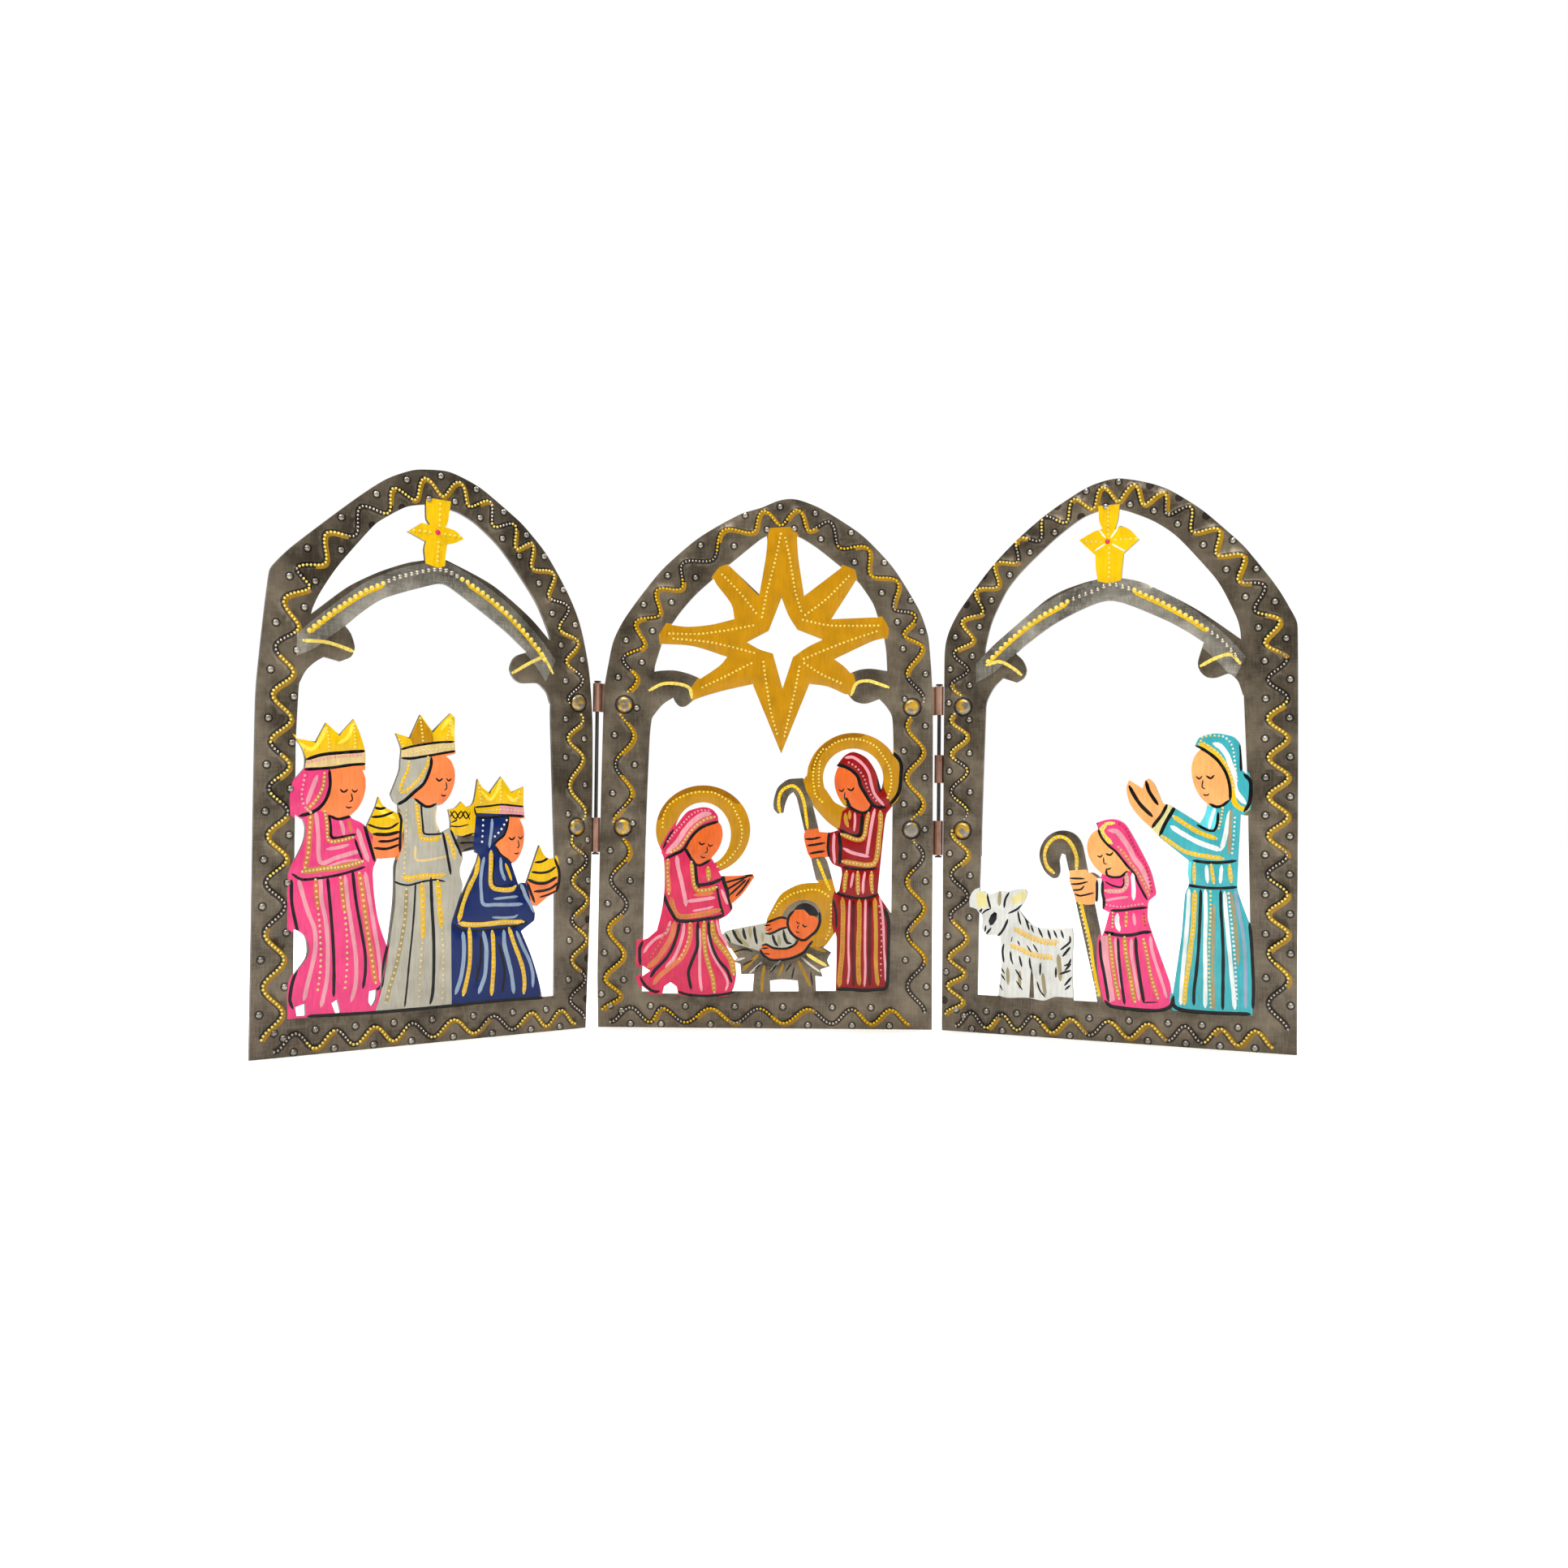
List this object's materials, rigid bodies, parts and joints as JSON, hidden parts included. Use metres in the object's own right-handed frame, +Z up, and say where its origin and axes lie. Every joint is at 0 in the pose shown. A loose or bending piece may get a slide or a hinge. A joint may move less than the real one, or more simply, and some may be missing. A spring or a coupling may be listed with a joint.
{
  "type": "folding metal triptych",
  "caption": "Folding arched triptych of hand-cut painted sheet steel with open nativity scenes, a centre panel and hinged side wings.",
  "frame": {"origin": "middle of the centre panel's foot, halfway through the sheet, on the surface that it stands on", "axes": "+X along the centre panel to its right seen from the front, +Y out of its back, +Z up"},
  "size_m": [0.345, 0.0831, 0.2019],
  "materials": {
    "painted_steel": "dark burnished sheet steel with a satin clear coat, figures and trims hand painted in gloss enamel",
    "hinge_steel": "copper-brown rolled hinge steel, satin",
    "pin_steel": "dark oiled steel",
    "rivet_steel": "hammered steel heads with worn yellow paint"
  },
  "bodies": {
    "centre": {"centre_panel": "painted_steel", "left_hinge_centre_leaf": "hinge_steel", "right_hinge_centre_leaf": "hinge_steel", "left_hinge_pin": "pin_steel", "right_hinge_pin": "pin_steel", "centre_rivet_left_upper": "rivet_steel", "centre_rivet_left_lower": "rivet_steel", "centre_rivet_right_upper": "rivet_steel", "centre_rivet_right_lower": "rivet_steel"},
    "left_wing": {"left_wing_panel": "painted_steel", "left_wing_hinge_leaf": "hinge_steel", "left_wing_rivet_upper": "rivet_steel", "left_wing_rivet_lower": "rivet_steel"},
    "right_wing": {"right_wing_panel": "painted_steel", "right_wing_hinge_leaf": "hinge_steel", "right_wing_rivet_upper": "rivet_steel", "right_wing_rivet_lower": "rivet_steel"}
  },
  "joints": [
    {"name": "left_hinge", "type": "hinge", "parent": "centre", "child": "left_wing", "pos_m": [-0.0645, -0.0002, 0], "axis": [0, 0, 1], "range_deg": [-119, 109]},
    {"name": "right_hinge", "type": "hinge", "parent": "centre", "child": "right_wing", "pos_m": [0.0645, -0.0002, 0], "axis": [0, 0, -1], "range_deg": [-104, 80]}
  ]
}
